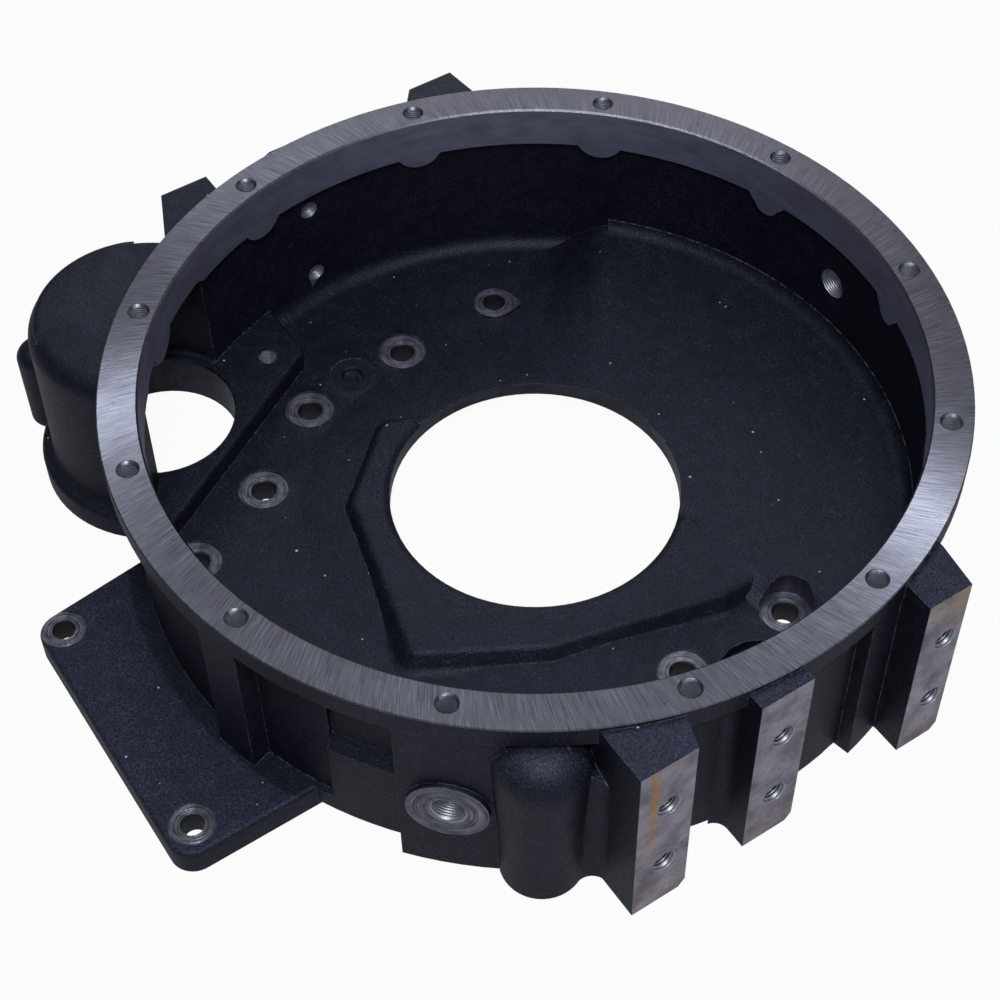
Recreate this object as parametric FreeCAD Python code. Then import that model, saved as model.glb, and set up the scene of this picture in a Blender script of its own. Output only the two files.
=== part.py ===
import FreeCAD, Part
import math
import os
from FreeCAD import Vector

os.makedirs("parts", exist_ok=True)

# Flywheel housing, one iron casting, in millimetres.
# Z is the crank axis. The face that takes the gearbox or pump is Z = 0 and
# the face against the engine block is at the full depth below it.
# +X is the outward normal of the three machined side pads.

# driving sizes of the bell
bolt_circle_d = 428.6          # size 3 flange of the standard bell housings
pilot_d = 409.6
flange_d = 451.8
flange_edge = 12.4             # height of the ring's outer edge
depth = 124.0                  # engine face to flange face
flange_overhang = 8.4          # ring outside the wall below it
pilot_height = 25.5            # bored band under the flange face
floor_thickness = 16.0
lobe_holes = (2, 3)            # under these flange holes a boss reaches below the bored band
lobe_r = 12.5
lobe_depth = 40.9
cast_slack = 2.8               # cast wall behind the bored band
cast_shift = 1.3               # core shift of the cast wall, visible as a step
shift_angle = 200.0
floor_fillet = 9.0
foot_fillet = 5.0

flange_r = flange_d / 2
pilot_r = pilot_d / 2
wall_r = flange_r - flange_overhang
cast_r = pilot_r + cast_slack
bottom = -depth
floor_z = bottom + floor_thickness

# flange holes
flange_holes = 12
flange_hole_offset = 15.0
flange_tap_d = 9.0
flange_tap_rim = 12.0
flange_tap_depth = 22.0
lug_r = 17.2                   # round lug of iron round each flange hole
lug_drop = 18.7

# crank bore
crank_bore_d = 161.8
crank_land_z = floor_z + 7.2    # where the bore starts to open into the raised floor
crank_recess = 14.75           # depth of the engine side relief round the bore
crank_recess_r = 97.0
bore_hump_r = 130.0            # the floor swells gently towards the bore
bore_round = 9.0

# raised parts of the floor
plateau_z = floor_z + 10.0
plateau_slope = 7.0
plateau_toe = 8.0
plateau_round = 5.5
rise_at_wall = floor_z + 18.0
plateau = [(-90, -44), (-49, -89), (56.5, -117), (93.5, -54), (118, 42), (118, 84), (30, 84), (-60, 20)]
rise_crest = [(40, 68), (106, 67), (132, 78), (168, 94), (225, 112), (225, 226), (-165, 226), (-165, 166), (0, 62)]
rise_toe = [(30, 55), (108, 51), (131, 54), (168, 66), (225, 78), (225, 226), (-178, 226), (-178, 137), (-68, 12)]
rise_on_plateau = 2            # so many of its first corners stand on the plateau
rise_crest_z = floor_z + 24.0
rise_relief_ends = (48.0, 124.0)   # angles of the pocket behind the rise
rise_profile = [(0.0, 0.0), (0.25, 0.156), (0.5, 0.5), (0.75, 0.844), (1.0, 1.03)]   # way across, way up

# starter side
starter_x, starter_y = -164.7, -147.9
starter_bore_d = 87.0
starter_land_z = floor_z + 12.2
starter_room_r = 50.5          # pinion space above the land
starter_flange_r = 68.5
starter_wall_foot = 61.5
starter_wall_head = 60.0
starter_roof = 9.6
starter_bolt_circle_d = 148.2
starter_bolt_angle = 93.3
starter_tap_d = 10.4
starter_tap_depths = (38.0, 24.0, 24.0)   # the first one breaks out on the land inside
starter_lug_r = 13.5
starter_lug_z = -69.0
starter_roof_rise = 1.4
starter_roof_slope = 3.0       # run of the soft edge for each millimetre of its height
starter_roof_outline = [(-161.6, -178.2), (-240, -107), (-265, -170), (-190, -221)]
land_chord = 166.5             # straight edge of the raised land, from the crank axis
land_angle = 210.2
land_end_y = -53.0
land_corner = 9.0

# seats for the bolts to the engine block
seat_d = 28.0
seat_hole_d = 13.5
seat_rim = 1.8
seat_lip = 0.6
seats = [(-138.4, -1.2), (-128.9, -70.1), (-91.1, -122.0), (-66.9, -177.5), (140.9, -2.6), (140.4, 65.8)]
blind_seat = (-139.1, -35.5)
nose_seat = (-140.4, 65.8)
nose_length = 18.0
nose_r = 12.2
nose_angle = 56.3
nose_height = 2.2
drain_pocket = (165.0, 30.0)    # shallow pocket against the wall, drained through the floor
drain_pocket_r = 22.0
drain_pocket_depth = 7.0

# side pads
pad_face_x = 233.5
pad_rear_x = -229.0
pad_top = -2.5
pad_fillet = 8.0
pad_tap_d = 10.9
pad_tap_rim = 14.2
pad_tap_depth = 24.0
pad_tap_rows = (-39.0, -89.0)
pad_lines = (-84.7, -17.7, 82.4)

# sump side ear of the base
ear_hole_d = 12.5
ear_seat_d = 24.0
ear_holes = [(-66.7, -257.65), (77.3, -257.65)]
ear_corner = 13.0
ear_outline = [(-87, -190), (-77.5, -270.5), (94.2, -273.5), (93.6, -190)]

# bulge, speed sensor port, timing hole
bulge_x, bulge_y, bulge_r = 184.6, -121.9, 21.5
bulge_fillet = 9.0
bulge_foot = 2.0
bulge_top_r = 25.0             # it widens to this under the ring
bulge_top_round = 18.0
valley_r = 9.0                 # hollow corner between the bulge and the first pad
valley_drop = 20.0
port_angle = -44.8
port_z = -71.0
port_seat_d = 40.6
port_stand = 10.7              # seat of the port outside the wall
port_face_r = wall_r + port_stand
port_bore_d = 16.4
timing_angle = 90.0
timing_z = -55.0
timing_bore_d = 18.0
timing_boss_r = 227.0
ledge_z = -65.0
ledge_start = -61.8
hollow_depth = 6.5             # of the hollow that ends on the ledge
long_hollow_depth = 3.5
ledge_rise = 7.0               # the ledge is sloped this much over the hollow's depth


def polar(radius, angle):
    a = math.radians(angle)
    return radius * math.cos(a), radius * math.sin(a)


def corner_wire(points, place):
    # points are (u, v) or (u, v, radius); a radius rounds that corner
    edges = []
    spans = []
    n = len(points)
    for i in range(n):
        u, v = points[i][0], points[i][1]
        radius = points[i][2] if len(points[i]) > 2 else 0.0
        if radius == 0.0:
            spans.append(((u, v), (u, v), None))
            continue
        pu, pv = points[i - 1][0], points[i - 1][1]
        nu, nv = points[(i + 1) % n][0], points[(i + 1) % n][1]
        la, lb = math.hypot(pu - u, pv - v), math.hypot(nu - u, nv - v)
        a = ((pu - u) / la, (pv - v) / la)
        b = ((nu - u) / lb, (nv - v) / lb)
        half = math.acos(max(-1.0, min(1.0, a[0] * b[0] + a[1] * b[1]))) / 2
        cut = radius / math.tan(half)
        reach = radius / math.sin(half)
        bis = (a[0] + b[0], a[1] + b[1])
        lm = math.hypot(bis[0], bis[1])
        mid = (u + bis[0] / lm * (reach - radius), v + bis[1] / lm * (reach - radius))
        spans.append(((u + a[0] * cut, v + a[1] * cut), (u + b[0] * cut, v + b[1] * cut), mid))
    for i in range(n):
        start, end, mid = spans[i]
        if mid is not None:
            edges.append(Part.Arc(place(*start), place(*mid), place(*end)).toShape())
        after = spans[(i + 1) % n][0]
        if math.hypot(after[0] - end[0], after[1] - end[1]) > 1e-6:
            edges.append(Part.makeLine(place(*end), place(*after)))
    return Part.Wire(edges)


def prism(points, z0, z1):
    wire = corner_wire(points, lambda u, v: Vector(u, v, z0))
    return Part.Face(wire).extrude(Vector(0, 0, z1 - z0))


def turned(points, cx=0.0, cy=0.0):
    wire = corner_wire(points, lambda u, v: Vector(cx + u, cy, v))
    return Part.Face(wire).revolve(Vector(cx, cy, 0), Vector(0, 0, 1), 360)


def offset(points, distance):
    # moves every side of a closed outline outward by the distance
    n = len(points)
    area = sum(points[i][0] * points[(i + 1) % n][1] - points[(i + 1) % n][0] * points[i][1] for i in range(n))
    sign = 1.0 if area > 0 else -1.0
    lines = []
    for i in range(n):
        (x0, y0), (x1, y1) = points[i][:2], points[(i + 1) % n][:2]
        length = math.hypot(x1 - x0, y1 - y0)
        dx, dy = (x1 - x0) / length, (y1 - y0) / length
        lines.append((x0 + sign * dy * distance, y0 - sign * dx * distance, dx, dy))
    moved = []
    for i in range(n):
        ax, ay, adx, ady = lines[i - 1]
        bx, by, bdx, bdy = lines[i]
        det = adx * bdy - ady * bdx
        t = ((bx - ax) * bdy - (by - ay) * bdx) / det
        moved.append((ax + t * adx, ay + t * ady))
    return moved


def tapered(low, z0, low_round, high, z1, high_round):
    # drafted solid between two outlines with the same rounded corners
    a = corner_wire([(p[0], p[1], low_round) for p in low], lambda u, v: Vector(u, v, z0))
    b = corner_wire([(p[0], p[1], high_round) for p in high], lambda u, v: Vector(u, v, z1))
    return Part.makeLoft([a, b], True, True)


def raised_floor(x, y):
    # height of the raised floor, a flat cone from the crank bore to the wall
    inner = crank_bore_d / 2 + 3
    share = min(max((math.hypot(x, y) - inner) / (cast_r - inner), 0.0), 1.3)
    return plateau_z + (rise_at_wall - plateau_z) * share


def ramp(toe, crest):
    # body with soft sides that run from the toe on the floor up to the raised floor at the crest
    foot = [plateau_z - 0.2 if i < rise_on_plateau else floor_z for i in range(len(toe))]
    wires = [[Vector(tx, ty, floor_z - 3) for tx, ty in toe]]
    for across, high in rise_profile:
        wires.append([Vector(tx + (cx - tx) * across, ty + (cy - ty) * across, z + (raised_floor(cx, cy) - z) * high)
                      for (tx, ty), (cx, cy), z in zip(toe, crest, foot)])
    wires.append([Vector(cx, cy, rise_crest_z) for cx, cy in crest])
    return Part.makeLoft([Part.makePolygon(w + w[:1]) for w in wires], True, True)


def rod(radius, start, direction, length):
    return Part.makeCylinder(radius, length, Vector(*start), Vector(*direction))


def tapped(start, direction, tap_d, rim_d, length):
    # hole for a thread, with its countersunk rim, cut along the direction
    sink = (rim_d - tap_d) / 2
    hole = rod(tap_d / 2, start, direction, length)
    rim = Part.makeCone(rim_d / 2 + 0.5, tap_d / 2, sink + 0.5,
                        Vector(*start) - Vector(*direction).normalize() * 0.5, Vector(*direction))
    return hole.fuse(rim)


def sector(r0, r1, a0, a1, z0, z1):
    p, q = polar(r0, a0), polar(r1, a0)
    face = Part.Face(Part.Wire([
        Part.makeLine(Vector(p[0], p[1], z0), Vector(q[0], q[1], z0)),
        Part.Arc(Vector(q[0], q[1], z0), Vector(*polar(r1, (a0 + a1) / 2), z0), Vector(*polar(r1, a1), z0)).toShape(),
        Part.makeLine(Vector(*polar(r1, a1), z0), Vector(*polar(r0, a1), z0)),
        Part.Arc(Vector(*polar(r0, a1), z0), Vector(*polar(r0, (a0 + a1) / 2), z0), Vector(p[0], p[1], z0)).toShape(),
    ]))
    return face.extrude(Vector(0, 0, z1 - z0))


def web(centre, radius, t1, t2, inner, z0, z1):
    # iron left of a hollow corner: the arc about the centre from t1 to t2, closed through the inner points
    mx, my = (t1[0] + t2[0]) / 2 - centre[0], (t1[1] + t2[1]) / 2 - centre[1]
    m = math.hypot(mx, my)
    mid = (centre[0] + mx / m * radius, centre[1] + my / m * radius)
    corners = [t2, *inner, t1]
    edges = [Part.Arc(Vector(*t1, z0), Vector(*mid, z0), Vector(*t2, z0)).toShape()]
    for p, q in zip(corners, corners[1:]):
        edges.append(Part.makeLine(Vector(*p, z0), Vector(*q, z0)))
    return Part.Face(Part.Wire(edges)).extrude(Vector(0, 0, z1 - z0))


def wall_web(cx, cy, r, fillet, side, z0, z1):
    # hollow corner between a round boss and the round side wall
    d = math.hypot(cx, cy)
    ux, uy = cx / d, cy / d
    along = (d * d + (wall_r + fillet) ** 2 - (r + fillet) ** 2) / (2 * d)
    across = side * math.sqrt((wall_r + fillet) ** 2 - along ** 2)
    f = (along * ux - across * uy, along * uy + across * ux)
    k = wall_r / (wall_r + fillet)
    t1 = (f[0] * k, f[1] * k)
    k = r / (r + fillet)
    t2 = (cx + (f[0] - cx) * k, cy + (f[1] - cy) * k)
    inner = ((t1[0] + t2[0]) / 2 - ux * 8 , (t1[1] + t2[1]) / 2 - uy * 8)
    return web(f, fillet, t1, t2, [inner], z0, z1)


def pad_web(y, side, front, fillet, z0, z1):
    # hollow corner between the flat side of a pad at y and the round side wall
    fy = y + side * fillet
    fx = front * math.sqrt((wall_r + fillet) ** 2 - fy ** 2)
    k = wall_r / (wall_r + fillet)
    t1 = (fx * k, fy * k)
    t2 = (fx, y)
    return web((fx, fy), fillet, t1, t2, [(fx - front * 14, y - side * 2)], z0, z1)


# outer form of the bell
body = turned([
    (0, bottom), (wall_r, bottom, foot_fillet), (wall_r, -flange_edge, 2.5),
    (flange_r, -flange_edge), (flange_r, -0.6), (flange_r - 0.6, 0), (0, 0)])

# base plate ear with rounded top edge
ear = prism([(p[0], p[1], ear_corner) if p[1] < -200 else p for p in ear_outline], bottom, floor_z)
ear_edges = [e for e in ear.Edges if all(abs(v.Point.z - floor_z) < 1e-6 for v in e.Vertexes)
             and e.BoundBox.YMin < -191]
ear = ear.makeFillet(2.5, ear_edges)

# starter housing, turned about its own axis
starter_tower = turned([
    (0, bottom), (starter_flange_r, bottom), (starter_flange_r, floor_z, 3.5),
    (starter_wall_foot, floor_z, 4.0), (starter_wall_head, -flange_edge, 11.0), (0, -flange_edge)],
    starter_x, starter_y)
roof_run = starter_roof_rise * starter_roof_slope
starter_roof_pad = tapered(offset(starter_roof_outline, roof_run), -flange_edge - starter_roof_rise, 8.0,
                           offset(starter_roof_outline, -roof_run * 1.5),
                           -flange_edge + starter_roof_rise * 1.5, 4.0).common(
    turned([(0, -flange_edge - 6), (starter_wall_head - 3, -flange_edge - 6),
            (starter_wall_head - 3, -flange_edge + starter_roof_rise, 5.0), (0, -flange_edge + starter_roof_rise)],
           starter_x, starter_y))
starter_bolts = []
for k in range(3):
    dx, dy = polar(starter_bolt_circle_d / 2, starter_bolt_angle + 120.0 * k)
    starter_bolts.append((starter_x + dx, starter_y + dy))
starter_lug = turned([
    (0, bottom), (starter_lug_r, bottom, 1.5), (starter_lug_r, starter_lug_z, 8.0), (0, starter_lug_z)],
    *starter_bolts[1])

# side pads: face width, flared root, chamfered lower corner
front_pads = [
    [(pad_face_x, -102.5), (pad_face_x, -70.6), (218, -65), (196, -65), (196, -102.5)],
    [(pad_face_x, -34.5), (pad_face_x, -4.0), (196, -4.0), (196, -34.5)],
    [(pad_face_x, 66.0), (pad_face_x, 92.0), (208, 96), (185, 96), (185, 66.0)],
]
rear_pads = [
    [(pad_rear_x, -98), (pad_rear_x, -69.5), (-200, -69.5), (-185, -111.5), (-199, -111.5)],
    [(pad_rear_x + 2, -29.4), (pad_rear_x + 2, -2), (-210, -2), (-210, -38), (-224, -36.6)],
    [(pad_rear_x, 66.5), (pad_rear_x, 94.9), (-208, 96.6), (-190, 96.6), (-190, 60), (-221, 60)],
]
pads = []
for outline in front_pads + rear_pads:
    pads.append(prism(outline, bottom, pad_top))
webs = []
under = -flange_edge + 1
for y, side in ((-70.6, 1), (-34.5, -1), (-4.0, 1), (66.0, -1), (92.0, 1)):
    webs.append(pad_web(y, side, 1, pad_fillet, bottom, under))
for y, side in ((-69.5, 1), (-29.4, -1), (-2.0, 1), (66.5, -1), (94.9, 1)):
    webs.append(pad_web(y, side, -1, pad_fillet, bottom, under))

# bulge beside the port, flush panels and ribs of the side wall
bulge = turned([(0, bottom), (bulge_r, bottom, bulge_foot), (bulge_r, bottom + 30, 40.0),
                (bulge_top_r, -flange_edge - 1.5, bulge_top_round), (0, -flange_edge - 1.5)], bulge_x, bulge_y)
port_panel = sector(wall_r - 6, flange_r - 0.3, -51.3, -37.6, bottom, -flange_edge + 2)
ear_rib = sector(wall_r - 6, flange_r - 0.5, -79.5, -73.2, bottom, -flange_edge + 2)
pad_panel = sector(wall_r - 6, flange_r - 0.6, 11.3, 17.6, bottom, -flange_edge + 2)
webs.append(wall_web(bulge_x, bulge_y, bulge_r, bulge_fillet, -1, bottom + bulge_foot, under))
pad_y = front_pads[0][0][1]
fx = bulge_x + math.sqrt((bulge_r + valley_r) ** 2 - (pad_y - valley_r - bulge_y) ** 2)
k = bulge_r / (bulge_r + valley_r)
valley = web((fx, pad_y - valley_r), valley_r, (fx, pad_y),
             (bulge_x + (fx - bulge_x) * k, bulge_y + (pad_y - valley_r - bulge_y) * k),
             [(bulge_x + 6, bulge_y + 8), (bulge_x + 9, pad_y + 6)], bottom + bulge_foot, -flange_edge - 1.5)
webs.append(valley.common(turned([(0, bottom), (bulge_r + 40, bottom), (bulge_r + 40, -flange_edge - 2.2 * valley_drop),
                                  (bulge_r + 4, -flange_edge - valley_drop), (bulge_r - 9, -flange_edge - 1.5),
                                  (0, -flange_edge - 1.5)], bulge_x, bulge_y)))

port_dir = (*polar(1.0, port_angle), 0.0)
port_boss = rod(port_seat_d / 2 + 0.4, (*polar(wall_r - 8, port_angle), port_z), port_dir,
                port_face_r - wall_r + 8)
timing_dir = (*polar(1.0, timing_angle), 0.0)
timing_boss = rod(timing_bore_d / 2 + 9, (*polar(wall_r - 8, timing_angle), timing_z), timing_dir,
                  timing_boss_r - wall_r + 8)

for piece in [ear, starter_tower, starter_roof_pad, starter_lug, *pads, bulge, port_panel, ear_rib,
              pad_panel, port_boss, timing_boss, *webs]:
    body = body.fuse(piece)

# inside of the bell: bored band, then the cast wall down to the floor
shift = polar(cast_shift, shift_angle)
pilot_cut = turned([(0, 1), (pilot_r + 2, 1), (pilot_r + 1, 0), (pilot_r, -1), (pilot_r, -pilot_height), (0, -pilot_height)])
cast_cut = turned([(0, -pilot_height + 0.2), (cast_r - 0.8, -pilot_height + 0.2), (cast_r, -pilot_height - 1.2),
                   (cast_r, floor_z, floor_fillet), (0, floor_z)], *shift)

# what stands on the floor stays out of the cut
rise_body = turned([(0, floor_z), (cast_r + 4, floor_z), (cast_r + 4, rise_at_wall + floor_fillet),
                    (cast_r, rise_at_wall + floor_fillet + 0.2), (cast_r, rise_at_wall, floor_fillet),
                    (crank_bore_d / 2 + 3, plateau_z), (0, plateau_z)], *shift)
rise_body = rise_body.common(ramp(rise_toe, rise_crest))

step = plateau_z - floor_z
plateau_body = tapered(offset(plateau, plateau_slope * (step + 4) / step), floor_z - 4, 13.0,
                       plateau, plateau_z, 7.0)
plateau_rounds = [e for e in plateau_body.Edges if e.BoundBox.ZMin > plateau_z - 1e-6]
plateau_body = plateau_body.makeFillet(plateau_round, plateau_rounds)

bore_hump = turned([(0, floor_z - 2), (bore_hump_r + 12, floor_z - 2), (bore_hump_r, floor_z, 30.0),
                    (crank_bore_d / 2, crank_land_z), (0, crank_land_z)])

nx, ny = polar(1.0, land_angle)
chord = (nx * land_chord, ny * land_chord)
end_x = (land_chord - land_end_y * ny) / nx
land = [(end_x, land_end_y, land_corner), (chord[0] - ny * 150, chord[1] + nx * 150),
        (chord[0] - ny * 150 + nx * 90, chord[1] + nx * 150 + ny * 90), (-235, -140), (-235, land_end_y)]
land_body = prism(land, floor_z - 4, starter_land_z)
land_edges = [e for e in land_body.Edges if e.BoundBox.ZMin > starter_land_z - 1e-6
              and e.CenterOfMass.x > -200]
land_body = land_body.makeFillet(2.5, land_edges)

room = turned([(0, starter_land_z), (starter_room_r, starter_land_z, 3.0),
               (starter_room_r - 2, -flange_edge - starter_roof, 8.0), (0, -flange_edge - starter_roof)],
              starter_x, starter_y)

# bosses of two flange holes, bored flush with the band
lobes = []
for k in lobe_holes:
    x, y = polar(bolt_circle_d / 2, flange_hole_offset + k * 360.0 / flange_holes)
    lobe = turned([(0, -pilot_height + 6), (lobe_r, -pilot_height + 6), (lobe_r, -lobe_depth, lobe_r - 0.1),
                   (0, -lobe_depth)], x, y)
    lobes.append(lobe.cut(Part.makeCylinder(pilot_r, lobe_depth + 10, Vector(0, 0, -lobe_depth - 5))))

inside = cast_cut.cut(plateau_body)
plateau_foot = [e for e in inside.Edges if e.BoundBox.ZLength < 1e-6 and abs(e.BoundBox.ZMin - floor_z) < 1e-6
                and math.hypot(e.CenterOfMass.x, e.CenterOfMass.y) < cast_r - 30 and e.Length < cast_r * 2]
inside = inside.makeFillet(plateau_toe, plateau_foot)
for piece in [bore_hump, rise_body, land_body, *lobes]:
    inside = inside.cut(piece)
body = body.cut(inside)
body = body.cut(pilot_cut)
body = body.cut(room)


# seats on the floor: a raised lip, the turned seat and the bolt hole
seat_iron = []
seat_cuts = []
for x, y in seats + [blind_seat]:
    seat_iron.append(turned([(0, floor_z - 2), (seat_d / 2 + seat_rim + 1.5, floor_z - 2),
                             (seat_d / 2 + seat_rim + 1.2, floor_z), (seat_d / 2 + seat_rim - 0.6, floor_z + seat_lip),
                             (0, floor_z + seat_lip)], x, y))
for x, y in seats:
    seat_cuts.append(turned([(0, bottom - 1), (seat_hole_d / 2, bottom - 1), (seat_hole_d / 2, floor_z - 1.0),
                             (seat_hole_d / 2 + 0.6, floor_z - 0.4), (seat_d / 2, floor_z - 0.4),
                             (seat_d / 2, rise_crest_z), (0, rise_crest_z)], x, y))
x, y = blind_seat
seat_cuts.append(turned([(0, floor_z - 3), (5.0, floor_z - 2.4), (6.2, floor_z + 0.2, 1.0), (seat_d / 2 - 1, floor_z + 0.4),
                         (seat_d / 2, floor_z + 3), (0, floor_z + 3)], x, y))

# the seat beside the wall has a nose that was milled with it
x, y = nose_seat
tip = (x + nose_length * math.cos(math.radians(nose_angle)), y + nose_length * math.sin(math.radians(nose_angle)))
side = nose_r * nose_r / nose_length
across = nose_r * math.sqrt(1 - (nose_r / nose_length) ** 2)
ux, uy = math.cos(math.radians(nose_angle)), math.sin(math.radians(nose_angle))
nose = prism([(x + ux * side - uy * across, y + uy * side + ux * across), (tip[0], tip[1], 4.0),
              (x + ux * side + uy * across, y + uy * side - ux * across), (x, y)],
             floor_z - 2, floor_z + nose_height)
nose = nose.fuse(rod(nose_r, (x, y, floor_z - 2), (0, 0, 1), nose_height + 2))
seat_iron.append(nose)
seat_cuts.append(rod(seat_hole_d / 2, (x, y, bottom - 1), (0, 0, 1), depth))
seat_cuts.append(turned([(0, bottom - 1), (5.0, bottom - 1), (5.0, floor_z - drain_pocket_depth),
                         (drain_pocket_r, floor_z - drain_pocket_depth, 3.0), (drain_pocket_r, floor_z + 2),
                         (0, floor_z + 2)], *drain_pocket))
for piece in seat_iron:
    body = body.fuse(piece)

# round lugs that carry the flange threads, trimmed by the bored band
lug_zone = sector(pilot_r, wall_r - 3, 0, 180, -44, -flange_edge).fuse(
    sector(pilot_r, wall_r - 3, 180, 360, -44, -flange_edge))
lugs = []
flange_cuts = []
for k in range(flange_holes):
    hx, hy = polar(bolt_circle_d / 2, flange_hole_offset + 360.0 / flange_holes * k)
    lugs.append(Part.makeSphere(lug_r, Vector(hx, hy, -lug_drop)).common(lug_zone))
    flange_cuts.append(tapped((hx, hy, 0), (0, 0, -1), flange_tap_d, flange_tap_rim, flange_tap_depth))
for lug in lugs:
    body = body.fuse(lug)

# crank bore, and the relief on the engine side under the raised floor
bore_cut = turned([(0, bottom - 1), (crank_recess_r, bottom - 1), (crank_recess_r, bottom + crank_recess, 4.0),
                   (crank_bore_d / 2, bottom + crank_recess), (crank_bore_d / 2, rise_at_wall + 12),
                   (0, rise_at_wall + 12)])
round_cut = turned([(crank_bore_d / 2 - 3, crank_land_z - 3), (crank_bore_d / 2, crank_land_z),
                    (crank_bore_d / 2 + bore_round * 0.35, crank_land_z + 1.9, 5.0),
                    (crank_bore_d / 2 + bore_round * 1.6, plateau_z + 0.25), (crank_bore_d / 2 - 3, plateau_z + 0.25)])
rise_side = sector(1.0, crank_bore_d / 2 + 30, 41.6, 200.0, crank_land_z - 6, plateau_z + 6)
round_cut = round_cut.cut(rise_side)

# hollows in the side wall between the ear rib and the port panel; the shorter one ends on a sloped ledge
wall_hollow = sector(wall_r - long_hollow_depth, flange_r + 6, ledge_start, -73.2, floor_z, -flange_edge)
ledge_cut = turned([(wall_r - hollow_depth, -flange_edge), (flange_r + 6, -flange_edge), (flange_r + 6, ledge_z),
                    (wall_r, ledge_z), (wall_r - hollow_depth, ledge_z + ledge_rise)])
ledge_cut = ledge_cut.common(sector(wall_r - 12, flange_r + 8, ledge_start, -51.3, bottom, 0))

starter_cut = turned([(0, bottom - 1), (starter_bore_d / 2 + 2, bottom - 1), (starter_bore_d / 2, bottom + 1),
                      (starter_bore_d / 2, starter_land_z - 0.7), (starter_bore_d / 2 + 1.4, starter_land_z + 0.7),
                      (0, starter_land_z + 0.7)], starter_x, starter_y)

# under the raised floor the engine side is hollow too, so the section stays even
rise_relief = sector(crank_recess_r + 12, cast_r - 16, *rise_relief_ends, bottom - 1, rise_at_wall - 16)
relief = [(-34, -82), (51, -104), (83, -51), (113, 42), (20, 42)]
plateau_relief = prism([(p[0], p[1], 8.0) for p in relief], bottom - 1, bottom + crank_recess)

cuts = [bore_cut, round_cut, rise_relief, plateau_relief, wall_hollow, ledge_cut, starter_cut] + seat_cuts + flange_cuts
for (x, y), tap_depth in zip(starter_bolts, starter_tap_depths):
    cuts.append(tapped((x, y, bottom), (0, 0, 1), starter_tap_d, starter_tap_d + 2.4, tap_depth))
for x, y in ear_holes:
    cuts.append(rod(ear_hole_d / 2, (x, y, bottom - 1), (0, 0, 1), floor_thickness + 2))
    cuts.append(rod(ear_seat_d / 2, (x, y, floor_z - 0.6), (0, 0, 1), 6))

# threads of the side pads; those on the middle rear pad break into the bell
for y in pad_lines:
    for z in pad_tap_rows:
        cuts.append(tapped((pad_face_x, y, z), (-1, 0, 0), pad_tap_d, pad_tap_rim, pad_tap_depth))
        through = 6.0 if y == pad_lines[1] else 0.0
        rear = pad_rear_x + 2 if y == pad_lines[1] else pad_rear_x
        cuts.append(tapped((rear, y, z), (1, 0, 0), pad_tap_d, pad_tap_rim, pad_tap_depth + through))

cuts.append(rod(port_bore_d / 2, (*polar(cast_r - 8, port_angle), port_z), port_dir, 40))
cuts.append(Part.makeCone(port_bore_d / 2, port_bore_d / 2 + 1.6, 1.6,
                          Vector(*polar(port_face_r - 1.6, port_angle), port_z), Vector(*port_dir)))
cuts.append(rod(timing_bore_d / 2, (*polar(cast_r - 8, timing_angle), timing_z), timing_dir, 40))

# lower corner of each pad face is chamfered
for outline in front_pads:
    y1 = outline[1][1]
    corner = Part.makePolygon([Vector(pad_face_x + 1, y1 - 4.5, bottom - 1), Vector(pad_face_x + 1, y1 + 1, bottom + 6),
                               Vector(pad_face_x + 1, y1 + 1, bottom - 1), Vector(pad_face_x + 1, y1 - 4.5, bottom - 1)])
    cuts.append(Part.Face(corner).extrude(Vector(-15, 0, 0)))

for piece in cuts:
    body = body.cut(piece)

casting = body
casting.exportStep("parts/housing_casting.step")
print("valid", casting.isValid(), "solids", len(casting.Solids), "faces", len(casting.Faces), "volume", casting.Volume, casting.BoundBox)
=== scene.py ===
import math
import bpy
import bmesh
import numpy as np
from mathutils import Vector, Matrix


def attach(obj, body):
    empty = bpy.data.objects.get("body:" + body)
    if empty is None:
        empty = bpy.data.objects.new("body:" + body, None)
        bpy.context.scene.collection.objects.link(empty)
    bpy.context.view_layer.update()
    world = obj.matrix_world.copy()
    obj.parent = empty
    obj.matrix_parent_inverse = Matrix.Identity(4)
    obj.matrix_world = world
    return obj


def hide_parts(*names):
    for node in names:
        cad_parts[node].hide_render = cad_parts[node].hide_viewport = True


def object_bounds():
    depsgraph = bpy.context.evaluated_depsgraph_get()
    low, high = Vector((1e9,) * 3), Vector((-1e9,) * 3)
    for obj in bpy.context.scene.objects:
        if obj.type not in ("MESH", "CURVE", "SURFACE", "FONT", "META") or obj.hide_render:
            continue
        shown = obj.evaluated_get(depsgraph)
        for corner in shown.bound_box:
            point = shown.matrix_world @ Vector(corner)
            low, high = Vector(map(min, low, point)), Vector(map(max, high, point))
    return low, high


# The whole object is one sand-cast flywheel housing. The solid model is loaded as the frame and gives
# every shape and size; this script adds the finish of the casting, paint and machined faces.
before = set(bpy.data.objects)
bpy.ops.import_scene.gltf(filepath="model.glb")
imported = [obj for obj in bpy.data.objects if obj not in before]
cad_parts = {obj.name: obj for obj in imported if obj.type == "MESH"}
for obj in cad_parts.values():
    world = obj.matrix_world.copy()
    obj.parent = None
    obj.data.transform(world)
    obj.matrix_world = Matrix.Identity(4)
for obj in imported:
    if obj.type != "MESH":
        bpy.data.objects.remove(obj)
cad_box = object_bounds()
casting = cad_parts["housing_casting"]


# The casting's own mesh
# A housing like this comes out of the sand mould with soft skin and is then milled, bored, drilled
# and tapped. The copy has joined vertices, so that curved skin shades round and cut edges stay crisp.
join_gap = 2e-6
empty_face = 1e-6
crisp_edge = math.radians(24)

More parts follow.
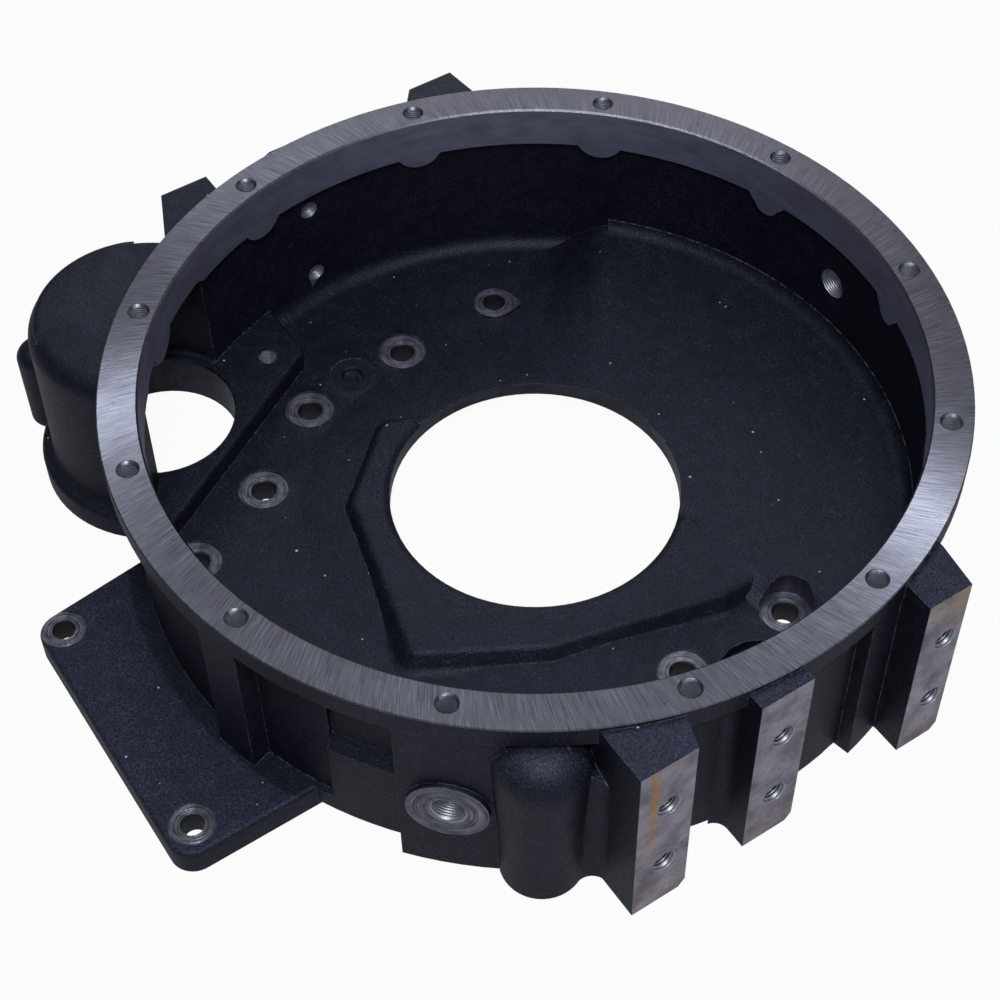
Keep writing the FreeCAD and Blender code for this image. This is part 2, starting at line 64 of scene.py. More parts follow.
skin_mesh = casting.data.copy()
housing = bpy.data.objects.new("housing", skin_mesh)
bpy.context.scene.collection.objects.link(housing)
weld = bmesh.new()
weld.from_mesh(skin_mesh)
bmesh.ops.remove_doubles(weld, verts=weld.verts, dist=join_gap)
bmesh.ops.dissolve_degenerate(weld, edges=weld.edges, dist=empty_face)
weld.to_mesh(skin_mesh)
weld.free()
skin_mesh.validate()
skin_mesh.materials.clear()
if "custom_normal" in skin_mesh.attributes:
    skin_mesh.attributes.remove(skin_mesh.attributes["custom_normal"])
skin_mesh.polygons.foreach_set("use_smooth", [True] * len(skin_mesh.polygons))
skin_mesh.set_sharp_from_angle(angle=crisp_edge)


# Cut faces
# Every face that a tool has touched is found from its place: the flange ring, the pilot band, the
# bores, the spot faces, the tapped holes and the pads. Sizes are in millimetres in the part's frame.
hair = 0.05                                     # how far a face's centre may be off its plane
floor_z, bottom_z = -108.0, -124.0
ring_inner_r, ring_low = 204.7, -1.05
pilot_r, pilot_top, pilot_low = 204.8, -0.9, -37.5
crank_bore_r, crank_bore_z = (80.5, 81.4), (-109.3, -88.0)
starter = (-164.7, -147.9, 0)
starter_bore_r, starter_bore_top = 45.0, -94.9
starter_tap_circle_r, starter_tap_angle, starter_tap_r = 74.1, 93.3, 6.5
engine_seats = [(-138.4, -1.2), (-128.9, -70.1), (-91.1, -122.0),
                (-66.9, -177.5), (140.9, -2.6), (140.4, 65.8)]
seat_r, seat_top, seat_hole_r, seat_hole_top = 14.05, 14.0, 7.4, -0.41
nose_seat = (-140.4, 65.8, floor_z)             # beside the wall, with a nose milled with it
nose_reach, nose_height, nose_seat_top, nose_hole_r, nose_hole_top = 18.3, 2.2, 2.1, 6.9, -0.3
foot_holes = [(-66.7, -257.65), (77.3, -257.65)]
foot_seat_r, foot_seat_top, foot_seat_low, foot_hole_r, foot_hole_top = 12.05, 0.1, -0.7, 6.4, -0.6
drain = (165.0, 30.0, floor_z)
drain_r, drain_top = 5.2, -6.0
flange_hole_circle_r, flange_hole_angle, flange_hole_r, flange_sink = 214.3, 15, 6.1, -1.7
near_pad_x, far_pad_x, far_pad_ends = 233.5, -226.9, 105
pad_rows, pad_hole_y, pad_tap_r, pad_tap_depth = (-39.0, -89.0), (-84.7, -17.7, 82.4), 7.2, 31
port_angle, port_face_r, port_z, port_seat_r, port_tap_r = math.radians(-44.8), 228.2, -71.0, 20.9, 10.0
timing = (0, 227.0, -55.0)
timing_seat_r, timing_tap_r = 18.1, 9.2
seat_tap_depth = 26

face_count = len(skin_mesh.polygons)


def per_face(quality):
    values = np.empty(face_count * 3)
    skin_mesh.polygons.foreach_get(quality, values)
    return values.reshape(-1, 3)


centre = per_face("center") * 1000
facing = per_face("normal")
radius = np.hypot(centre[:, 0], centre[:, 1])
height = centre[:, 2]
up = facing[:, 2]
inward = -(facing[:, 0] * centre[:, 0] + facing[:, 1] * centre[:, 1]) / np.maximum(radius, 1)

SKIN, FLANGE, PILOT, BORED, SPOT, THREAD, DRILLED, PAD, MILLED = range(9)
finish = np.full(face_count, SKIN)
# per face: the axis that its cut turned about, as an origin and a direction
cut_origin = np.zeros((face_count, 3))
cut_axis = np.tile(np.array([0.0, 0.0, 1.0]), (face_count, 1))


def mark(where, kind, origin=(0, 0, 0), axis=(0, 0, 1)):
    finish[where] = kind
    cut_origin[where] = origin
    cut_axis[where] = axis


def between(values, low, high):
    return (values > low) & (values < high)


def about(origin, axis=(0, 0, 1)):
    # for each face: how far its centre is from an axis, its place along it, and whether it looks at it
    offset = centre - np.array(origin)
    way = np.array(axis, float)
    along = offset @ way
    out = offset - along[:, None] * way
    return np.linalg.norm(out, axis=1), along, (out * facing).sum(1) < 0


def on_circle(circle_r, degrees):
    return circle_r * math.cos(math.radians(degrees)), circle_r * math.sin(math.radians(degrees))


def turned_seat(hole, axis, reach):
    away, along, _ = about(hole, axis)
    mark((away < reach) & (np.abs(along) < hair), SPOT, hole, axis)


def tapped_wall(hole, axis, tap_r, mouth, tap_depth):
    away, along, hollow = about(hole, axis)
    mark((away < tap_r) & hollow & between(along, -tap_depth, -mouth), THREAD, hole, axis)


mark((height < bottom_z + hair) & (up < -0.99), MILLED)
mark((height > ring_low) & (radius > ring_inner_r), FLANGE)
mark((np.abs(radius - pilot_r) < 0.12) & between(height, pilot_low, pilot_top) & (inward > 0.9), PILOT)
mark(between(radius, *crank_bore_r) & between(height, *crank_bore_z) & (inward > 0.8), BORED)

away, _, _ = about(starter)
mark((away < starter_bore_r) & (height < starter_bore_top), BORED, starter)
for k in range(3):
    dx, dy = on_circle(starter_tap_circle_r, starter_tap_angle + 120 * k)
    hole = (starter[0] + dx, starter[1] + dy, bottom_z)
    away, _, hollow = about(hole)
    mark((away < starter_tap_r) & hollow & (np.abs(up) < 0.8), THREAD, hole, (0, 0, -1))

for x, y in engine_seats:
    seat_at = (x, y, floor_z)
    away, _, _ = about(seat_at)
    mark((away < seat_r) & (height < floor_z + seat_top), SPOT, seat_at)
    mark((away < seat_hole_r) & (height < floor_z + seat_hole_top), DRILLED, seat_at)
away, _, _ = about(nose_seat)
nose_face = np.abs(height - floor_z - nose_height) < hair
mark((away < nose_reach) & nose_face & (up > 0.9), SPOT, nose_seat)
mark((away < seat_r) & (height < floor_z + nose_seat_top), SPOT, nose_seat)
mark((away < nose_hole_r) & (height < floor_z + nose_hole_top), DRILLED, nose_seat)
for x, y in foot_holes:
    seat_at = (x, y, floor_z)
    away, _, _ = about(seat_at)
    sunk = between(height, floor_z + foot_seat_low, floor_z + foot_seat_top)
    mark((away < foot_seat_r) & sunk, SPOT, seat_at)
    mark((away < foot_hole_r) & (height < floor_z + foot_hole_top), DRILLED, seat_at)
away, _, _ = about(drain)
mark((away < drain_r) & (height < floor_z + drain_top), DRILLED, drain)

for k in range(12):
    hole = (*on_circle(flange_hole_circle_r, flange_hole_angle + 30 * k), 0)
    away, _, hollow = about(hole)
    mark((away < flange_hole_r) & hollow & (up < 0.98) & (height < -hair), THREAD, hole)
    mark((away < flange_hole_r) & hollow & (np.abs(up - 0.7) < 0.2) & (height > flange_sink), SPOT, hole)

mark((np.abs(centre[:, 0] - near_pad_x) < hair) & (facing[:, 0] > 0.99), PAD)
mark((centre[:, 0] < far_pad_x) & (facing[:, 0] < -0.99) & (np.abs(centre[:, 1]) < far_pad_ends), PAD)
for y, far_face_x in zip(pad_hole_y, (-229.0, -227.0, -229.0)):
    for z in pad_rows:
        for x, sign in ((near_pad_x, 1), (far_face_x, -1)):
            tapped_wall((x, y, z), (sign, 0, 0), pad_tap_r, 0.03, pad_tap_depth)

port_axis = (math.cos(port_angle), math.sin(port_angle), 0)
port = (port_face_r * port_axis[0], port_face_r * port_axis[1], port_z)
turned_seat(port, port_axis, port_seat_r)
tapped_wall(port, port_axis, port_tap_r, 0.05, seat_tap_depth)
turned_seat(timing, (0, 1, 0), timing_seat_r)
tapped_wall(timing, (0, 1, 0), timing_tap_r, 0.02, seat_tap_depth)

# each corner keeps its place in its own cut's frame: x and y across the axis, z along it
corner_vert = np.empty(len(skin_mesh.loops), int)
skin_mesh.loops.foreach_get("vertex_index", corner_vert)
corner_face = np.repeat(np.arange(face_count), [p.loop_total for p in skin_mesh.polygons])
vert_at = np.empty(len(skin_mesh.vertices) * 3)
skin_mesh.vertices.foreach_get("co", vert_at)
corner_at = vert_at.reshape(-1, 3)[corner_vert] * 1000 - cut_origin[corner_face]
axis = cut_axis[corner_face]
side = np.where(np.abs(axis[:, 2:3]) > 0.5, np.array([[1.0, 0, 0]]), np.array([[0, 0, 1.0]]))
across = side - (side * axis).sum(1, keepdims=True) * axis
across /= np.linalg.norm(across, axis=1, keepdims=True)
in_cut_frame = [(corner_at * way).sum(1) for way in (across, np.cross(axis, across), axis)]
turned = skin_mesh.attributes.new("turned", "FLOAT_VECTOR", "CORNER")
turned.data.foreach_set("vector", np.stack(in_cut_frame, axis=1).ravel().astype(np.float32))
skin_mesh.polygons.foreach_set("material_index", finish.astype(np.int32))


# Sand skin and paint
# The mould leaves a skin of fine grains. A blue-black paint covers it, worn thin on the corners, and dust
# and paint specks lie on the faces that look up. Those faces are also painted lighter as painted light, most
# of all outside the ring, and sparse grains carry painted glints.
paint_dark, paint_light = (0.0044, 0.0050, 0.0090), (0.0070, 0.0078, 0.0135)
paint_lit_from_above = (0.010, 0.0115, 0.0185)
outside_painted_light = (0.020, 0.0225, 0.038)
painted_glint_colour = (0.045, 0.050, 0.080)
dust_speck = (0.45, 0.45, 0.42)
worn_corner = (0.14, 0.15, 0.19)
paint_sheen = (0.74, 0.78, 1.0, 1.0)
corner_round = 0.0011
outer_wall = (0.2265, 0.2290)
tower_x, tower_y = -0.085, -0.223


def group(name, inputs, outputs):
    tree = bpy.data.node_groups.new(name, "ShaderNodeTree")
    for label, kind in inputs:
        tree.interface.new_socket(label, in_out="INPUT", socket_type=kind)
    for label, kind in outputs:
        tree.interface.new_socket(label, in_out="OUTPUT", socket_type=kind)
    return tree, tree.nodes.new("NodeGroupInput").outputs, tree.nodes.new("NodeGroupOutput").inputs


def plug(tree, values, sockets):
    for value, socket in zip(values, sockets):
        if isinstance(value, (int, float)):
            socket.default_value = value
        elif isinstance(value, tuple):
            socket.default_value = (*value, 1.0)
        else:
            tree.links.new(value, socket)


def maths(tree, op, *values):
    node = tree.nodes.new("ShaderNodeMath")
    node.operation = op
    plug(tree, values, node.inputs)
    return node.outputs[0]


def times(tree, one, other):
    return maths(tree, "MULTIPLY", one, other)


def off_axis(tree, x, y):
    return maths(tree, "SQRT", maths(tree, "ADD", times(tree, x, x), times(tree, y, y)))


def noise(tree, place, scale, detail, rough):
    node = tree.nodes.new("ShaderNodeTexNoise")
    sockets = [node.inputs[k] for k in ("Vector", "Scale", "Detail", "Roughness")]
    plug(tree, (place, scale, detail, rough), sockets)
    return node.outputs["Fac"]


def ramp(tree, value, low, high, out_low=0.0, out_high=1.0):
    node = tree.nodes.new("ShaderNodeMapRange")
    sockets = [node.inputs[k] for k in ("Value", "From Min", "From Max", "To Min", "To Max")]
    plug(tree, (value, low, high, out_low, out_high), sockets)
    return node.outputs["Result"]


def mix(tree, mask, under, over):
    node = tree.nodes.new("ShaderNodeMix")
    node.data_type = "RGBA"
    plug(tree, (mask, under, over), (node.inputs[0], node.inputs[6], node.inputs[7]))
    return node.outputs[2]


def xyz(tree, place):
    node = tree.nodes.new("ShaderNodeSeparateXYZ")
    tree.links.new(place, node.inputs["Vector"])
    return node.outputs


def on_object(tree):
    return tree.nodes.new("ShaderNodeTexCoord").outputs["Object"]


def bumped(tree, raised, strength, distance, normal=None):
    node = tree.nodes.new("ShaderNodeBump")
    node.inputs["Strength"].default_value = strength
    node.inputs["Distance"].default_value = distance
    tree.links.new(raised, node.inputs["Height"])
    if normal is not None:
        tree.links.new(normal, node.inputs["Normal"])
    return node.outputs["Normal"]


def grained(name, base, rough, metallic=0.0):
    material = bpy.data.materials.new(name)
    material.use_nodes = True
    shader = material.node_tree.nodes["Principled BSDF"].inputs
    shader["Base Color"].default_value = (*base, 1.0)
    shader["Roughness"].default_value = rough
    shader["Metallic"].default_value = metallic
    material.diffuse_color = (*base, 1.0)
    return material, material.node_tree, shader


# Height is the grain of the skin, Patch its cloudy areas, Speck the rare dots of dust, Grain the sparse
# grains that carry a painted glint, and Fine a mottle from grain to grain
sand, sand_in, sand_out = group("sand skin", [("Place", "NodeSocketVector")], [
    (label, "NodeSocketFloat") for label in ("Height", "Patch", "Speck", "Grain", "Fine")])
place = sand_in["Place"]
small = times(sand, noise(sand, place, 1300.0, 2.0, 0.6), 0.5)
coarse = times(sand, noise(sand, place, 520.0, 3.0, 0.6), 0.65)
wave = times(sand, noise(sand, place, 60.0, 2.0, 0.5), 0.5)
sand.links.new(maths(sand, "ADD", maths(sand, "ADD", small, coarse), wave), sand_out["Height"])
sand.links.new(ramp(sand, noise(sand, place, 22.0, 4.0, 0.6), 0.35, 0.7), sand_out["Patch"])
dots = sand.nodes.new("ShaderNodeTexVoronoi")
dots.inputs["Scale"].default_value = 210.0
dots.inputs["Randomness"].default_value = 1.0
sand.links.new(place, dots.inputs["Vector"])
draw = sand.nodes.new("ShaderNodeSeparateColor")
sand.links.new(dots.outputs["Color"], draw.inputs["Color"])
rare = maths(sand, "GREATER_THAN", draw.outputs[0], 0.95)
dot_r = maths(sand, "MULTIPLY_ADD", draw.outputs[1], 0.14, 0.03)
near = maths(sand, "LESS_THAN", dots.outputs["Distance"], dot_r)
sand.links.new(times(sand, rare, near), sand_out["Speck"])
sparse = ramp(sand, noise(sand, place, 1050.0, 1.0, 0.5), 0.50, 0.68)
drift = ramp(sand, noise(sand, place, 95.0, 3.0, 0.6), 0.38, 0.60)
sand.links.new(times(sand, sparse, drift), sand_out["Grain"])
sand.links.new(noise(sand, place, 900.0, 2.0, 0.7), sand_out["Fine"])

paint, tree, shader = grained("housing paint", (0.0060, 0.0075, 0.0135), 0.46)
place = on_object(tree)
use = tree.nodes.new("ShaderNodeGroup")
use.node_tree = sand
tree.links.new(place, use.inputs["Place"])
skin = use.outputs
normal = tree.nodes.new("ShaderNodeNewGeometry").outputs["Normal"]
level = xyz(tree, normal)["Z"]
up_light_and_dust = ramp(tree, level, 0.75, 0.97)
colour = mix(tree, skin["Patch"], paint_dark, paint_light)
# painted light: faces that look up are coloured lighter, as if lit from above
colour = mix(tree, times(tree, up_light_and_dust, 0.30), colour, paint_lit_from_above)
# painted light: up-facing faces outside the ring, the foot and the pads' tops, are coloured lighter, unlike
# the floor inside the bell that lies in shade; the starter tower is left out
x, y, _ = xyz(tree, place)
tower = times(tree, maths(tree, "LESS_THAN", x, tower_x), maths(tree, "GREATER_THAN", y, tower_y))
outside = times(tree, ramp(tree, off_axis(tree, x, y), *outer_wall), maths(tree, "SUBTRACT", 1.0, tower))
outside_light = times(tree, ramp(tree, level, 0.15, 0.95), outside)
colour = mix(tree, times(tree, outside_light, 0.85), colour, outside_painted_light)
# painted glints: sparse grains are coloured light, more so on the up-facing faces outside the ring
painted_glint = times(tree, skin["Grain"], maths(tree, "MULTIPLY_ADD", outside_light, 0.45, 0.40))
colour = mix(tree, painted_glint, colour, painted_glint_colour)
colour = mix(tree, times(tree, times(tree, skin["Speck"], up_light_and_dust), 0.8), colour, dust_speck)
# where the rounded normal leaves the flat one, the corner is worn
round_edge = tree.nodes.new("ShaderNodeBevel")
round_edge.samples = 4
round_edge.inputs["Radius"].default_value = corner_round
same = tree.nodes.new("ShaderNodeVectorMath")
same.operation = "DOT_PRODUCT"
plug(tree, (round_edge.outputs["Normal"], normal), same.inputs)
chipped = ramp(tree, noise(tree, place, 240.0, 4.0, 0.65), 0.44, 0.58)
worn = times(tree, ramp(tree, same.outputs["Value"], 0.97, 0.85), chipped)
colour = mix(tree, times(tree, worn, 0.75), colour, worn_corner)
mottled = tree.nodes.new("ShaderNodeVectorMath")
mottled.operation = "SCALE"
tree.links.new(colour, mottled.inputs[0])
tree.links.new(ramp(tree, skin["Fine"], 0.34, 0.66, 0.35, 1.75), mottled.inputs["Scale"])
tree.links.new(mottled.outputs[0], shader["Base Color"])
tree.links.new(ramp(tree, skin["Fine"], 0.3, 0.7, 0.56, 0.38), shader["Roughness"])
tree.links.new(bumped(tree, skin["Height"], 0.8, 0.0006, round_edge.outputs["Normal"]), shader["Normal"])
shader["Specular IOR Level"].default_value = 0.32
shader["Specular Tint"].default_value = paint_sheen


# Flange ring
# The ring is face milled, which leaves fine lines a little off the radius that catch the light on two sides.
# It is bare iron with a few dark spots, and its far side is painted a little darker and browner, as painted
# shade.
ring_dark, ring_light = (0.20, 0.20, 0.24), (0.44, 0.44, 0.51)
ring_band, ring_far_shade, ring_spot = (0.19, 0.18, 0.20), (0.155, 0.145, 0.160), (0.06, 0.055, 0.055)
line_slant = 0.0012
line_turn = 0.0306


def vector(tree, x, y, z):
    node = tree.nodes.new("ShaderNodeCombineXYZ")
    plug(tree, (x, y, z), node.inputs)
    return node.outputs[0]


def turned_place(tree):
    # radius, angle and height of the point about its own cut, in millimetres
    own = tree.nodes.new("ShaderNodeAttribute")
    own.attribute_type = "GEOMETRY"
    own.attribute_name = "turned"
    x, y, z = xyz(tree, own.outputs["Vector"])
    return off_axis(tree, x, y), maths(tree, "ARCTAN2", y, x), z


def ring_noise(tree, r, angle, round_scale, out_scale, start, detail, rough):
    at = vector(tree, times(tree, angle, round_scale), times(tree, r, out_scale), start)
    return noise(tree, at, 1.0, detail, rough)


flange, tree, shader = grained("milled flange", (0.20, 0.20, 0.215), 0.36, 1.0)
r, angle, _ = turned_place(tree)
angle = maths(tree, "SUBTRACT", angle, times(tree, r, line_slant))
lines = ring_noise(tree, r, angle, 300.0, 0.05, 0.0, 4.0, 0.65)
bands = ring_noise(tree, r, angle, 26.0, 0.05, 3.0, 3.0, 0.6)
spots = ring_noise(tree, r, angle, 60.0, 0.25, 7.0, 4.0, 0.7)
x, y, _ = xyz(tree, on_object(tree))
# painted shade: the far side of the ring is coloured darker and browner
far_shade = ramp(tree, maths(tree, "SUBTRACT", y, times(tree, x, 0.66)), 0.05, 0.26)
colour = mix(tree, ramp(tree, lines, 0.35, 0.68), ring_dark, ring_light)
colour = mix(tree, times(tree, ramp(tree, bands, 0.45, 0.7), 0.40), colour, ring_band)
colour = mix(tree, times(tree, far_shade, 0.70), colour, ring_far_shade)
colour = mix(tree, times(tree, ramp(tree, spots, 0.62, 0.72), 0.5), colour, ring_spot)
tree.links.new(colour, shader["Base Color"])
tree.links.new(ramp(tree, lines, 0.3, 0.7, 0.44, 0.38), shader["Roughness"])
shader["Anisotropic"].default_value = 1.0
shader["Anisotropic Rotation"].default_value = line_turn
spin = tree.nodes.new("ShaderNodeTangent")
spin.direction_type = "RADIAL"
spin.axis = "Z"
tree.links.new(spin.outputs["Tangent"], shader["Tangent"])
tree.links.new(bumped(tree, lines, 0.6, 0.0004), shader["Normal"])


# Pilot band and bores
# Bored on a lathe or a boring mill, so fine feed lines run round the axis. The pilot band is clean
# bright iron, and the crank and starter bores are dark and oiled.
pilot_dark, pilot_light = (0.42, 0.42, 0.56), (0.56, 0.56, 0.72)
bore_dark, bore_light = (0.036, 0.038, 0.050), (0.085, 0.088, 0.108)


def bored_finish(name, dark, light, rough, pitch):
    material, tree, shader = grained(name, dark, rough, 1.0)
    _, angle, z = turned_place(tree)
    feed = noise(tree, vector(tree, times(tree, angle, 3.0), 0.0, times(tree, z, pitch)), 1.0, 3.0, 0.6)
    cloud = noise(tree, vector(tree, times(tree, angle, 9.0), 5.0, times(tree, z, 0.12)), 1.0, 3.0, 0.6)
    colour = mix(tree, ramp(tree, feed, 0.3, 0.7), dark, light)
    colour = mix(tree, times(tree, ramp(tree, cloud, 0.4, 0.7), 0.5), colour, tuple(v * 0.5 for v in dark))
    tree.links.new(colour, shader["Base Color"])
    tree.links.new(ramp(tree, feed, 0.3, 0.7, rough + 0.08, rough - 0.06), shader["Roughness"])
    tree.links.new(bumped(tree, feed, 0.35, 0.0003), shader["Normal"])
    return material


pilot = bored_finish("bored pilot band", pilot_dark, pilot_light, 0.5, 1.6)
bored = bored_finish("bored iron", bore_dark, bore_light, 0.42, 1.8)


# Spot faces
# Each bolt seat is cut by a turning tool in its hole, so it carries bright rings round it.
# Oily dirt stays in the rings.
seat_groove, seat_crest, seat_dirt = (0.07, 0.072, 0.090), (0.40, 0.40, 0.46), (0.045, 0.047, 0.055)

spotface, tree, shader = grained("spot faced seat", (0.16, 0.16, 0.175), 0.36, 1.0)
r, angle, _ = turned_place(tree)
rings = noise(tree, vector(tree, times(tree, r, 1.3), times(tree, angle, 0.25), 0.0), 1.0, 3.0, 0.7)
dirt = noise(tree, vector(tree, times(tree, r, 0.25), times(tree, angle, 1.6), 4.0), 1.0, 4.0, 0.65)
colour = mix(tree, ramp(tree, rings, 0.35, 0.65), seat_groove, seat_crest)
colour = mix(tree, times(tree, ramp(tree, dirt, 0.4, 0.62), 0.6), colour, seat_dirt)
tree.links.new(colour, shader["Base Color"])
tree.links.new(ramp(tree, rings, 0.3, 0.7, 0.48, 0.30), shader["Roughness"])
tree.links.new(bumped(tree, rings, 0.8, 0.0005), shader["Normal"])


# Threads
# Tapped walls show their turns as fine lines: the crests are coloured bright, as painted highlight, over
# roots coloured dark, as painted shade. The solid wall stays plain, and the turns are a helix in its bump
# and colour: one turn for each pitch.
thread_pitch = 1.5
# painted highlight on the crests and painted shade in the roots
thread_crest_highlight, thread_root_shade = (0.62, 0.62, 0.69), (0.26, 0.26, 0.30)

threaded, tree, shader = grained("tapped thread", (0.22, 0.22, 0.235), 0.50, 1.0)
_, angle, z = turned_place(tree)
turns = maths(tree, "ADD", times(tree, z, 1 / thread_pitch), times(tree, angle, 1 / (2 * math.pi)))
tooth = maths(tree, "ABSOLUTE", maths(tree, "SUBTRACT", maths(tree, "FRACT", turns), 0.5))
tree.links.new(mix(tree, ramp(tree, tooth, 0.0, 0.5), thread_crest_highlight, thread_root_shade), shader["Base Color"])
tree.links.new(bumped(tree, tooth, 1.0, 0.0009), shader["Normal"])


# Drilled holes
# Plain drilled walls are dark iron, with oil and dust from the cutting.
drilled_dark, drilled_light = (0.02, 0.02, 0.026), (0.085, 0.082, 0.085)

drilled, tree, shader = grained("drilled wall", (0.045, 0.045, 0.052), 0.5, 0.8)
mottle = noise(tree, on_object(tree), 260.0, 3.0, 0.6)
tree.links.new(mix(tree, mottle, drilled_dark, drilled_light), shader["Base Color"])


# Side pads and the engine face
# The pads are milled flat after casting. They carry warm grey iron with faint stains, a streak of
# rust on the first pad and a yellow corner on the third.
pad_dark, pad_light = (0.25, 0.23, 0.26), (0.52, 0.47, 0.52)
pad_scratch, pad_fleck = (0.30, 0.29, 0.29), (0.05, 0.045, 0.045)
rust_streak, yellow_corner, rust_foot = (0.62, 0.30, 0.06), (0.55, 0.38, 0.12), (0.36, 0.19, 0.10)
streak_sides = (-0.0975, -0.0955), (-0.0925, -0.0895)
first_pad_y = -0.06


def milled_finish(name, rust):
    material, tree, shader = grained(name, (0.15, 0.14, 0.14), 0.5, 0.9)
    place = on_object(tree)
    x, y, z = xyz(tree, place)
    cloud = noise(tree, place, 55.0, 4.0, 0.65)
    fleck = noise(tree, place, 420.0, 3.0, 0.6)
    slanted = times(tree, maths(tree, "ADD", z, times(tree, y, 0.35)), 900.0)
    scratch = noise(tree, vector(tree, times(tree, x, 40.0), times(tree, y, 60.0), slanted), 1.0, 3.0, 0.6)
    colour = mix(tree, ramp(tree, cloud, 0.35, 0.65), pad_dark, pad_light)
    colour = mix(tree, times(tree, ramp(tree, scratch, 0.52, 0.7), 0.35), colour, pad_scratch)
    colour = mix(tree, times(tree, ramp(tree, fleck, 0.6, 0.72), 0.5), colour, pad_fleck)
    if rust:
        wander = maths(tree, "ADD", y, times(tree, maths(tree, "SUBTRACT", cloud, 0.5), 0.010))
        left, right = streak_sides
        band = times(tree, ramp(tree, wander, *left), ramp(tree, wander, *right, 1.0, 0.0))
        fade = times(tree, band, ramp(tree, z, -0.085, -0.035))
        on_first = maths(tree, "LESS_THAN", y, first_pad_y)
        streak = times(tree, times(tree, fade, on_first), ramp(tree, fleck, 0.3, 0.6))
        colour = mix(tree, times(tree, streak, 0.9), colour, rust_streak)
        corner = times(tree, ramp(tree, maths(tree, "ADD", y, z), 0.045, 0.085), ramp(tree, cloud, 0.3, 0.6))
        colour = mix(tree, times(tree, corner, 0.7), colour, yellow_corner)
        low = times(tree, ramp(tree, z, -0.095, -0.122), ramp(tree, fleck, 0.4, 0.6))
        colour = mix(tree, times(tree, low, 0.35), colour, rust_foot)
    tree.links.new(colour, shader["Base Color"])
    tree.links.new(ramp(tree, cloud, 0.3, 0.7, 0.60, 0.42), shader["Roughness"])
    tree.links.new(bumped(tree, scratch, 0.25, 0.0003), shader["Normal"])
    return material


pad = milled_finish("milled pad", True)
milled = milled_finish("milled engine face", False)

for material in (paint, flange, pilot, bored, spotface, threaded, drilled, pad, milled):
    skin_mesh.materials.append(material)

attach(housing, "root")
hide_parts("housing_casting")


# Studio floor
# A pale floor under the casting. The camera and, in part, mirrored rays see it lit to white, and it
# keeps the casting's shadow.
floor_colour = (0.42, 0.42, 0.44, 1.0)
mirrored_share, white_share = 0.15, 0.95

bpy.ops.mesh.primitive_plane_add(size=8.0, location=(0, 0, cad_box[0][2]))
floor = bpy.context.object
floor.name = "studio_floor"
ground = bpy.data.materials.new("studio floor")
ground.use_nodes = True
tree = ground.node_tree
matt = tree.nodes["Principled BSDF"]
matt.inputs["Base Color"].default_value = floor_colour
matt.inputs["Roughness"].default_value = 0.9
matt.inputs["Specular IOR Level"].default_value = 0.1
glow = tree.nodes.new("ShaderNodeEmission")
glow.inputs["Color"].default_value = (1, 1, 1, 1)
glow.inputs["Strength"].default_value = 1.0
ray = tree.nodes.new("ShaderNodeLightPath").outputs
seen = maths(tree, "MAXIMUM", ray["Is Camera Ray"], times(tree, ray["Is Glossy Ray"], mirrored_share))
blend = tree.nodes.new("ShaderNodeMixShader")
plug(tree, (times(tree, seen, white_share), matt.outputs[0], glow.outputs[0]), blend.inputs)
tree.links.new(blend.outputs[0], tree.nodes["Material Output"].inputs["Surface"])
floor.data.materials.append(ground)


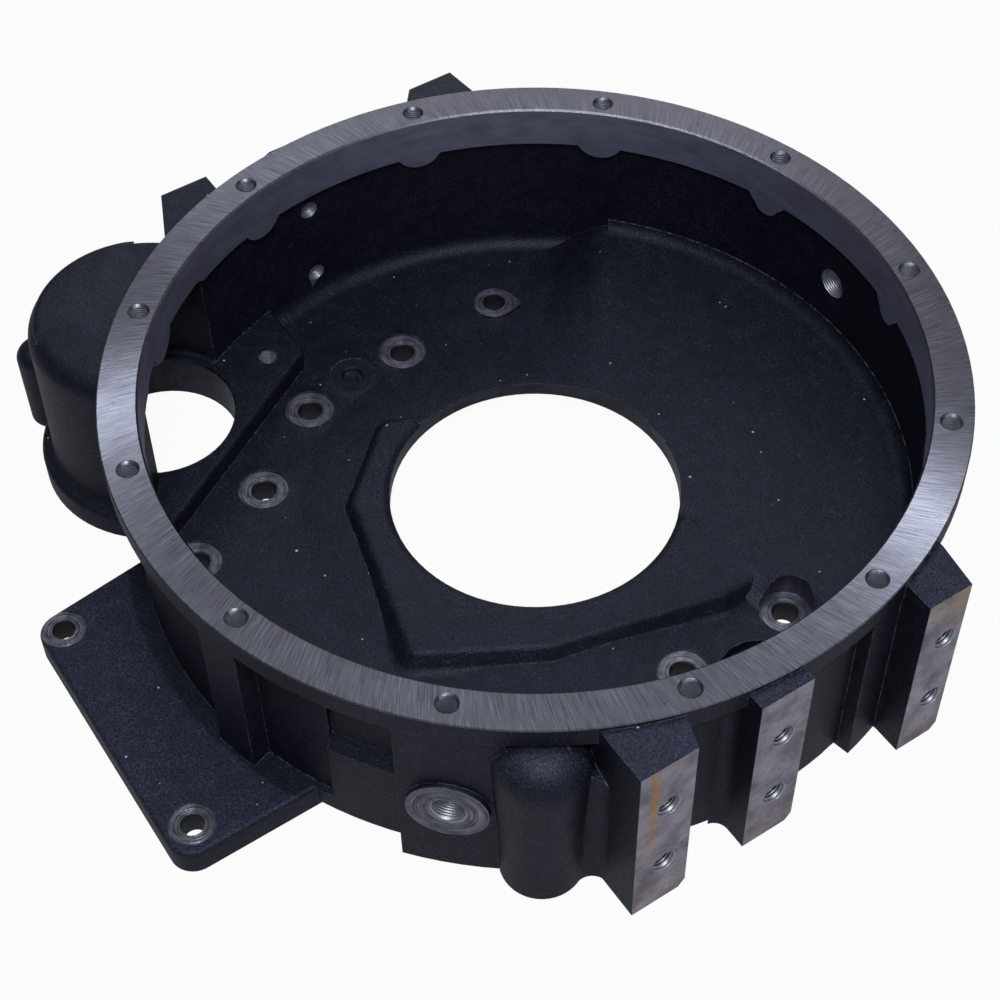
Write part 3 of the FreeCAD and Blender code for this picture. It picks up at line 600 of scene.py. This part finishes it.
# Light
# A faint blue-grey room, with a key light beside the camera that gives the ring its two bright
# zones, a large box behind, and weak boxes at the left, the right, the far rim and the top.
room_colour, room_strength = (0.92, 0.94, 1.0, 1.0), 0.09
lamp_colour = (0.86, 0.91, 1.0)
middle = (0, 0, 0)
boxes = [("key spot", (0.80, -0.50, 1.60), middle, 0.25, 12.0),
         ("key box", (0.75, -0.45, 1.65), middle, 0.9, 10.0),
         ("left box", (-1.18, -0.43, 1.43), middle, 0.5, 1.0),
         ("back box", (-0.9, 0.6, 1.5), middle, 1.4, 5.0),
         ("rim box", (-1.5, 1.0, 0.95), (0, 0, -0.1), 0.8, 5.0),
         ("top box", (0.0, 0.0, 1.8), middle, 0.8, 2.0),
         ("right box", (1.5, 0.3, 0.7), (0.1, 0, -0.05), 0.8, 2.0)]

world = bpy.data.worlds.new("studio")
bpy.context.scene.world = world
world.use_nodes = True
tree = world.node_tree
room = tree.nodes["Background"]
white = tree.nodes.new("ShaderNodeBackground")
for node, tint, strength in ((room, room_colour, room_strength), (white, (1, 1, 1, 1), 1.0)):
    node.inputs["Color"].default_value = tint
    node.inputs["Strength"].default_value = strength
ray = tree.nodes.new("ShaderNodeLightPath").outputs
blend = tree.nodes.new("ShaderNodeMixShader")
plug(tree, (ray["Is Camera Ray"], room.outputs[0], white.outputs[0]), blend.inputs)
tree.links.new(blend.outputs[0], tree.nodes["World Output"].inputs["Surface"])

for name, stand, aim, width, watts in boxes:
    lamp = bpy.data.lights.new(name, "AREA")
    lamp.shape = "RECTANGLE"
    lamp.size = width
    lamp.size_y = width
    lamp.energy = watts
    lamp.color = lamp_colour
    box = bpy.data.objects.new(name, lamp)
    bpy.context.scene.collection.objects.link(box)
    box.location = stand
    box.rotation_euler = (Vector(aim) - Vector(stand)).to_track_quat("-Z", "Y").to_euler()


# Camera
# It stands where the photograph's did, in metres in the part's frame: its lens, shift and roll were
# fitted to the twelve flange holes and the ring.
focal_px, picture_px, sensor_mm = 2039.2, 1000, 36
eye, target = Vector((0.6035, -0.4111, 0.7672)), Vector((0.0717, -0.0561, 0.0))
roll = math.radians(-0.478)

camera = bpy.data.cameras.new("photo camera")
camera.sensor_width = sensor_mm
camera.lens = focal_px * sensor_mm / picture_px
camera.shift_x = -0.0227
camera.shift_y = -0.0002
tripod = bpy.data.objects.new("photo camera", camera)
bpy.context.scene.collection.objects.link(tripod)
back = (eye - target).normalized()
right = (-back).cross(Vector((0, 0, 1))).normalized()
rise = right.cross(-back)
tilted = Matrix((math.cos(roll) * right + math.sin(roll) * rise,
                 -math.sin(roll) * right + math.cos(roll) * rise, back))
stand = tilted.transposed().to_4x4()
stand.translation = eye
tripod.matrix_world = stand
bpy.context.scene.camera = tripod
bpy.context.scene.view_settings.view_transform = "Standard"
